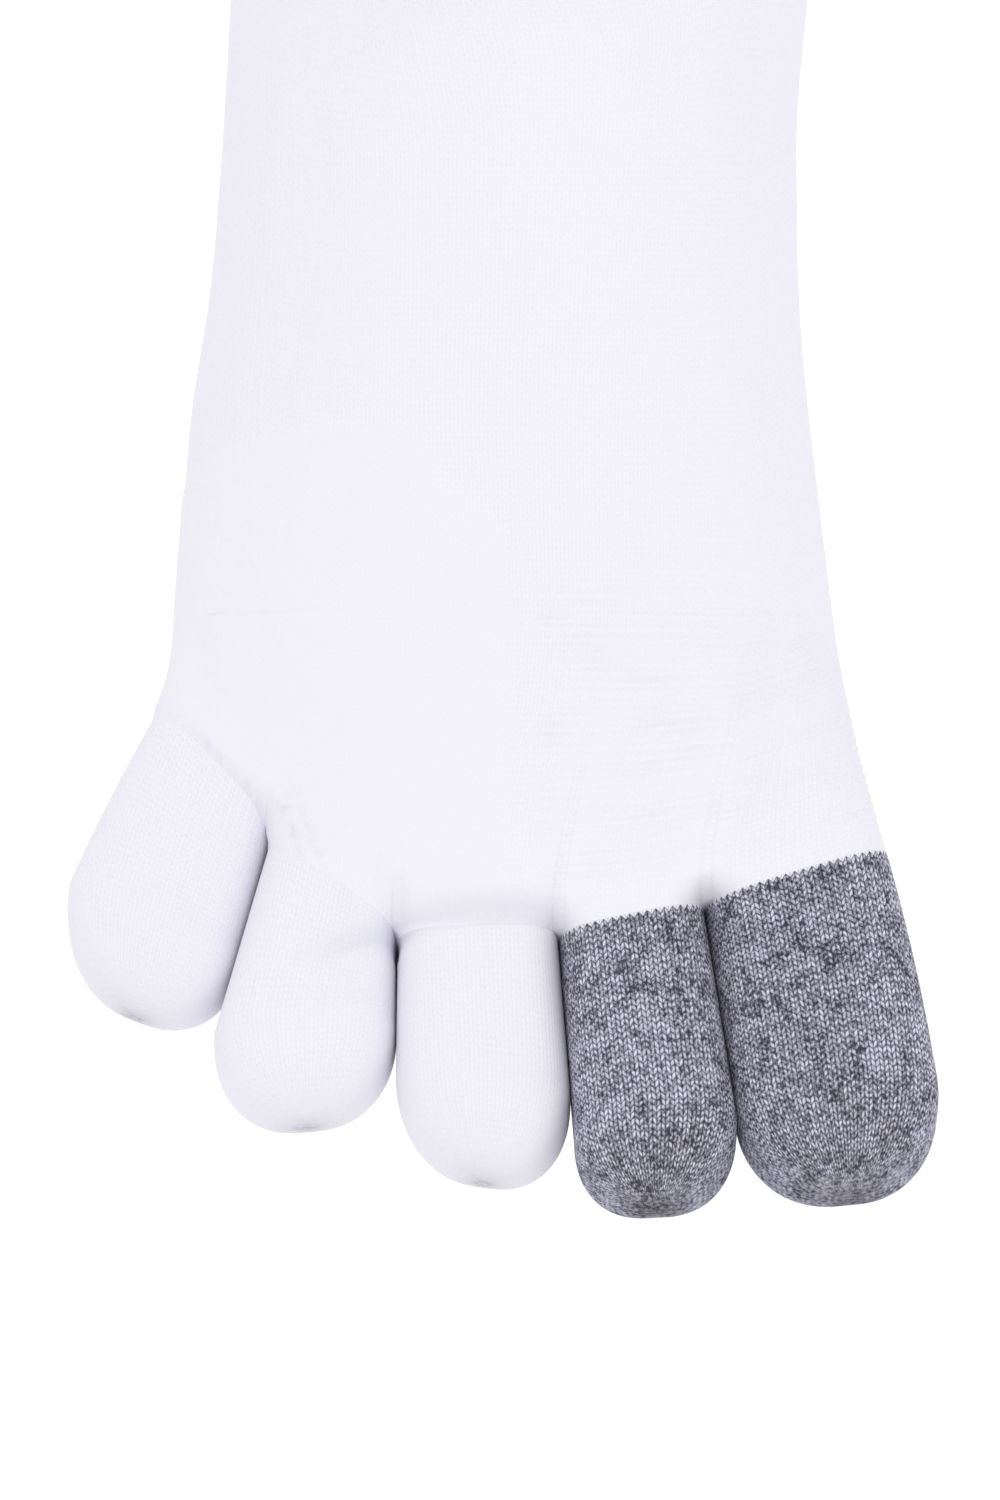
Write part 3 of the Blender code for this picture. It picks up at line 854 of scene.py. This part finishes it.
def seam_relief(rings, left, toe_index, rise, width, stitch):
    """A swell beside a toe's linking seam with stitches pulled across, and the painted shade
    along it.
    """
    starts = over_starts()
    columns = np.arange(starts[toe_index], starts[toe_index + 1])
    share = np.zeros(rings.shape[:2])
    shade = np.zeros(rings.shape[:2])
    beside = left[:, columns] / width
    swell = beside * np.exp(1 - beside) * rise
    place = np.cumsum(
        np.append(0, np.linalg.norm(np.diff(rings[-1, columns], axis=0), axis=1))
    )
    pulled = np.cos(place / stitch * 2 * math.pi)[None, :] * PULL_RISE
    close = np.exp(-(((left[:, columns] - 1.1 * MM) / (0.7 * MM)) ** 2))
    ends = smooth(np.minimum(columns - columns[0], columns[-1] - columns) / 4.0)
    share[:, columns] = (swell + pulled * close) * ends[None, :]
    # Painted shade in a band along the seam, in uneven stitch strokes.
    band = np.exp(-(((left[:, columns] - width / 2) / (width / 2)) ** 2)) * ends[None, :]
    shade_patches = patchy(place / (5 * MM), place * 0, 17)
    strokes = (0.20 + 0.16 * np.cos(place / stitch * 2 * math.pi)) * shade_patches
    shade[:, columns] = band * strokes[None, :]
    return share, shade


CREASE_DEPTH = 0.25 * MM
# Strength of the painted shade in the crease.
CREASE_PAINTED_SHADE = 0.34
SEAM_RISE = 0.15 * MM
SEAM_WIDTH = 2.6 * MM
SEAM_STITCH = 1.35 * MM
PULL_RISE = 0.08 * MM  # of each stitch pulled across the seam
LINK_RISE = 0.3 * MM
# Strength of the painted shade among the loose loops.
LINK_PAINTED_SHADE = 0.5
LINK_ENDS = ((-29.5, -143.5), (-28.0, -147.0), (-26.8, -150.5))  # loops left by the linking


def link_loops(rings):
    """Small loose loops where the little toe's seam ends, from 0 to 1."""
    x, y = rings[..., 0], rings[..., 1]
    near = sum(
        np.exp(-((x - a * MM) ** 2 + (y - b * MM) ** 2) / (1.9 * MM) ** 2) for a, b in LINK_ENDS
    )
    loops = patchy(x / (0.7 * MM), y / (1.0 * MM), 13) ** 2
    return np.clip(near, 0, 1) * loops * (rings[..., 2] > WALL)


CREASE_LINE = ((10.0, -159.6), (-4.0, -160.6), (-16.0, -162.2), (-30.0, -165.5))  # in plan


def crease_shade(points):
    """Share of the crease that runs across the third and fourth toe, from 0 to 1, for its dent
    and its painted shade.
    """
    line = np.array(CREASE_LINE) * MM
    x, y, z = points[..., 0], points[..., 1], points[..., 2]
    beside = y - np.interp(-x, -line[:, 0], line[:, 1])
    width = np.where(beside > 0, 2.2 * MM, 1.1 * MM)
    ends = smooth((x - line[-1, 0]) / (12 * MM)) * smooth((line[0, 0] - x) / (7 * MM))
    return np.exp(-((beside / width) ** 2)) * ends * smooth((z - 6 * MM) / (4 * MM))


# %% Build the foot and leg
ROW_SPACING = 0.5 * MM
BRIDGE_ROWS = 100
INNER_SPACING = 4 * MM
INNER_BRIDGE_ROWS = 9


def foot_and_leg():
    cloth = Cloth()
    rings, left, loops = tube(0, 0, ROW_SPACING, BRIDGE_ROWS)
    column = np.arange(rings.shape[1])
    even_share = smooth(np.minimum(column, OVER - column) / (0.3 * OVER))[None, :]
    even_share = np.where(column < OVER, even_share, 0)
    distance = course_distance(rings, even_share)
    distance = distance - distance[-1]
    relief, pad = foot_relief(rings, left, distance)
    seam, shade = seam_relief(rings, left, WEBS, SEAM_RISE, SEAM_WIDTH, SEAM_STITCH)
    loops_left = link_loops(rings)
    relief += seam + loops_left * LINK_RISE
    crease = crease_shade(rings)
    relief -= crease * CREASE_DEPTH
    # Painted shade in the crease and among the loose loops, on top of the painted shade along the
    # seam.
    shade += crease * CREASE_PAINTED_SHADE + loops_left * LINK_PAINTED_SHADE
    relief[-1] = 0
    rings = rings + outward(rings) * relief[..., None]
    over_wales = np.linspace(0, 0.54, OVER + 1)
    wales = np.append(over_wales, np.linspace(0.54, 1, UNDER + 1)[1:]) * WALES_ROUND
    courses = distance / COURSE
    placed = cloth.wall(rings[:-1], wales, courses)
    loop_ids = [cloth.add(points) for points in loops]
    front = gather(loop_ids)
    cloth.join(placed[-1], front, wales, courses[-2], courses[-1])
    inner, _, inner_loops = tube(WALL, WEB_DEPTH, INNER_SPACING, INNER_BRIDGE_ROWS)
    inner_courses = course_distance(inner, even_share) / COURSE
    inside = cloth.wall(inner[:-1], wales, inner_courses)
    inner_ids = [cloth.add(points) for points in inner_loops]
    cloth.join(inside[-1], gather(inner_ids), wales, inner_courses[-2], inner_courses[-1])
    cloth.join(placed[0], inside[0], wales, courses[0], courses[0] + 3)
    for ids in (loop_ids, inner_ids):
        for i in range(WEBS):
            lateral = [ids[i][k] for k in loop_parts(i)[1]]
            medial = [ids[i + 1][k] for k in reversed(loop_parts(i + 1)[3])]
            for k in range(SIDE_COLUMNS):
                quad = (lateral[k], lateral[k + 1], medial[k + 1], medial[k])
                cloth.face(quad, ((k, 0), (k + 1, 0), (k + 1, 1), (k, 1)))
    for outer_loop, inner_loop in zip(loop_ids, inner_ids):
        spread = np.arange(len(outer_loop) + 1)
        flat = np.zeros(len(outer_loop) + 1)
        cloth.join(outer_loop, inner_loop, spread, flat, flat + 3)
    ids = np.array(placed).ravel()
    cloth.marks["pad"] = (ids, pad[:-1].ravel())
    # The painted shade goes to the material as the crease mark.
    cloth.marks["crease"] = (ids, np.clip(shade[:-1], 0, 1).ravel())
    spacing = np.linalg.norm(np.roll(rings, -1, axis=1) - np.roll(rings, 1, axis=1), axis=2)
    open_knit = np.clip(spacing / np.median(spacing, axis=1, keepdims=True), 0, 1) ** 2
    cloth.marks["open_knit"] = (ids, open_knit[:-1].ravel())
    return cloth.build("foot_and_leg", white_knit)


foot_and_leg()

# %% [markdown]
# ## The toe pockets
# Each pocket is knitted on to the foot. On the grey ones every loop of yarn is modelled:
# six columns and three rows of the mesh make one stitch, so its two legs stand up from
# the cloth. The white ones show hardly any loops, so their mesh is coarser and the
# material draws them. A pocket starts slightly inside the foot, which hides the join.

# %% Build the toes
WALE = 1.16 * MM
COLUMNS_PER_WALE = {"grey": 6, "white": 4}
ROWS_PER_COURSE = {"grey": 3, "white": 2}
STITCH_RISE = 0.16 * MM
TUCK = 0.4 * MM  # how far a pocket starts inside the foot
TUCK_INSET = 0.15 * MM


def toe_counts(index, per_wale):
    """Columns on the top, on each side and under a toe, a whole number of stitches."""
    edges = toe_edges(index, 0.5)
    half = np.linalg.norm(edges[0] - edges[1]) / 2
    rise = TOES[index].shoulder_top * TOE_HEIGHT / 2
    made = []
    for start, end in ((CORNER_ANGLE, math.pi - CORNER_ANGLE), (-CORNER_ANGLE, CORNER_ANGLE)):
        arc = even_arc(start, end, 60, TOE_ROUND, half, half, rise, rise)
        length = np.linalg.norm(np.diff(arc, axis=0), axis=1).sum()
        made.append(round(length / WALE) * per_wale)
    over, side = made
    if index in (0, WEBS):
        over += side // 2
    return over, side, over


def toe_rows(index, counts, spacing):
    """Places along a toe at even distances over its top, from the tuck to the tip."""
    tuck = -TUCK / straight_length(index)
    fine = np.concatenate([np.linspace(tuck, 1, 200), np.linspace(1, 2, 200)[1:]])
    path = np.array([toe_ring(index, a, 0, (8, 2, 8))[4] for a in fine])
    along = np.append(0, np.cumsum(np.linalg.norm(np.diff(path, axis=0), axis=1)))
    end = along[-1] - 0.5 * spacing
    distances = np.linspace(0, end, round(end / spacing) + 1)
    return np.interp(distances, along, fine), distances - TUCK


def stitch_relief(wales, courses, slant):
    """The same loops as the material's: two leaning legs for each stitch."""
    inside = wales - np.floor(wales)
    across = np.abs(inside - 0.5)
    leaning = courses - slant * across
    bow = 2 * (leaning - np.floor(leaning)) - 1
    leg = 1 - ((across - 0.25) * 4) ** 2
    return np.sqrt(np.clip(leg * (1 - 0.6 * bow**2), 0, 1))


def toe_pocket(index):
    toe = TOES[index]
    grey = toe.yarn == "grey"
    counts = toe_counts(index, COLUMNS_PER_WALE[toe.yarn])
    places, distances = toe_rows(index, counts, COURSE / ROWS_PER_COURSE[toe.yarn])
    inset = TUCK_INSET * smooth(-distances / TUCK)
    rings = np.array([toe_ring(index, a, i, counts) for a, i in zip(places, inset)])
    columns = rings.shape[1]
    wales = np.arange(columns + 1) / COLUMNS_PER_WALE[toe.yarn]
    courses = np.repeat(distances[:, None] / COURSE, columns, axis=1)
    size = np.linalg.norm(rings - rings.mean(axis=1, keepdims=True), axis=2).mean(axis=1)
    full = smooth(size / size.max() * 1.6 - 0.2)[:, None]
    start = smooth(distances / (0.5 * MM))[:, None]
    crease = crease_shade(rings) * (not grey)
    relief = -crease * CREASE_DEPTH * start
    if grey:
        relief += (stitch_relief(wales[:-1], courses, SLANT) - 0.75) * STITCH_RISE * full * start
    rings = rings + outward(rings) * relief[..., None]
    cloth = Cloth()
    outer = cloth.wall(rings, wales, courses)
    # Painted shade in the crease on the white toes, for the material.
    cloth.marks["crease"] = (np.array(outer).ravel(), crease.ravel() * CREASE_PAINTED_SHADE)
    cloth.close(outer[-1], rings[-1].mean(axis=0), wales, courses[-1, 0])
    inner_places = np.concatenate([np.linspace(places[0], 1, 8), np.linspace(1, 1.97, 9)[1:]])
    inner = np.array([toe_ring(index, a, WALL, counts) for a in inner_places])
    inner_courses = np.repeat(np.linspace(0, courses[-1, 0], len(inner))[:, None], columns, 1)
    inside = cloth.wall(inner, wales, inner_courses)
    cloth.close(inside[-1], inner[-1].mean(axis=0), wales, inner_courses[-1, 0])
    cloth.join(outer[0], inside[0], wales, courses[0], courses[0] + 3)
    surface = heather_knit if grey else white_toe_knit
    return cloth.build(toe.name, surface)


for index in range(len(TOES)):
    toe_pocket(index)

# %% [markdown]
# ## The cuff
# The leg ends in a plain band, turned in and knitted in ribs so that it stretches. The
# ribs are relief on both faces, and the fold at the top is round.

# %% Build the cuff
RIBS = 90
RIB_RISE = 0.25 * MM
COLUMNS_PER_RIB = 6
CUFF_ROWS = 26


def cuff():
    row = section_table()[0]
    count = RIBS * COLUMNS_PER_RIB
    swell = (CUFF_WALL - WALL) / 2
    half_wall = WALL / 2 + swell
    turn = np.linspace(0, math.pi, 9)
    inset, level = [], []
    for k in range(CUFF_ROWS):
        inset.append(-swell)
        level.append((CUFF_HEIGHT - half_wall) * k / CUFF_ROWS)
    inset.extend(WALL / 2 - half_wall * np.cos(turn))
    level.extend(CUFF_HEIGHT - half_wall + half_wall * np.sin(turn))
    for k in range(1, CUFF_ROWS + 1):
        inset.append(WALL + swell)
        level.append((CUFF_HEIGHT - half_wall) * (1 - k / CUFF_ROWS))
    section = Section(*row)
    sizes = (section.medial, section.lateral, LEG_DEPTH / 2, LEG_DEPTH / 2)
    wales = np.arange(count + 1) / COLUMNS_PER_RIB * 2
    rib = np.cos(np.arange(count) / COLUMNS_PER_RIB * 2 * math.pi) * RIB_RISE / 2
    centre_y = (section.top_y + section.sole_y) / 2
    rings = []
    for amount, z in zip(inset, level):
        half = count // 2
        smaller = [size - amount for size in sizes]
        over = even_arc(0, math.pi, half, 2.1, *smaller)[:-1]
        under = even_arc(math.pi, 2 * math.pi, half, 2.1, *smaller)[:-1]
        flat = np.vstack([over, under])
        out = flat / np.linalg.norm(flat, axis=1, keepdims=True)
        side = 1 if amount < WALL / 2 else -1
        flat = flat + out * (rib * side * smooth(np.array(z) / (2 * MM)))[:, None]
        up = np.full(count, LEG_HEIGHT + z)
        rings.append(np.column_stack([flat[:, 0], centre_y - flat[:, 1], up]))
    rings = np.array(rings)
    steps = np.linalg.norm(np.diff(rings, axis=0), axis=2).mean(axis=1)
    courses = np.repeat(np.append(0, np.cumsum(steps))[:, None] / COURSE, count, axis=1)
    cloth = Cloth()
    ids = cloth.wall(rings, wales, courses)
    cloth.join(ids[-1], ids[0], wales, courses[-1], courses[-1] + 3)
    return cloth.build("cuff", cuff_knit)


cuff()

# %% [markdown]
# ## Floor and light
# The sock is held up by the foot inside it, so the floor lies well below and takes no
# shadow from it. A pale floor, an even white surround and one broad soft lamp from above
# give the high-key look of a studio picture.

# %% Floor
FLOOR_LEVEL = -0.30
FLOOR_SIZE = 12.0
FLOOR_WHITE = 0.99
FLOOR_GLOW = 0.16  # keeps the pale floor white in the picture

floor_mesh = bpy.data.meshes.new("floor")
square = ((-1, -1), (1, -1), (1, 1), (-1, 1))
corners = [(x * FLOOR_SIZE, y * FLOOR_SIZE, FLOOR_LEVEL) for x, y in square]
floor_mesh.from_pydata(corners, [], [(0, 1, 2, 3)])
floor_paint = bpy.data.materials.new("floor paint")
floor_paint.use_nodes = True
floor_shader = floor_paint.node_tree.nodes["Principled BSDF"]
floor_shader.inputs["Base Color"].default_value = (FLOOR_WHITE,) * 3 + (1,)
floor_shader.inputs["Roughness"].default_value = 1.0
floor_shader.inputs["Specular IOR Level"].default_value = 0.0
floor_shader.inputs["Emission Color"].default_value = (1, 1, 1, 1)
floor_shader.inputs["Emission Strength"].default_value = FLOOR_GLOW
floor_mesh.materials.append(floor_paint)
floor = bpy.data.objects.new("floor", floor_mesh)
bpy.context.scene.collection.objects.link(floor)

# %% Light
SURROUND_STRENGTH = 0.86
KEY_PLACE = (0.08, -0.35, 2.0)
KEY_SIZE = 1.4
KEY_POWER = 9.0
KEY_AIM = (0, -0.1, 0.04)

world = bpy.data.worlds.new("surround")
world.use_nodes = True
world.node_tree.nodes["Background"].inputs["Color"].default_value = (1, 1, 1, 1)
world.node_tree.nodes["Background"].inputs["Strength"].default_value = SURROUND_STRENGTH
bpy.context.scene.world = world
bpy.context.scene.view_settings.view_transform = "Standard"


def soft_lamp(name, place, size, power):
    """A square lamp that faces the sock."""
    data = bpy.data.lights.new(name, "AREA")
    data.size = size
    data.energy = power
    lamp = bpy.data.objects.new(name, data)
    lamp.location = place
    aim = np.array(KEY_AIM) - np.array(place)
    lamp.rotation_mode = "QUATERNION"
    lamp.rotation_quaternion = Vector(aim).to_track_quat("-Z", "Y")
    bpy.context.scene.collection.objects.link(lamp)


soft_lamp("key lamp", KEY_PLACE, KEY_SIZE, KEY_POWER)
print("lamps", len(bpy.data.lights))
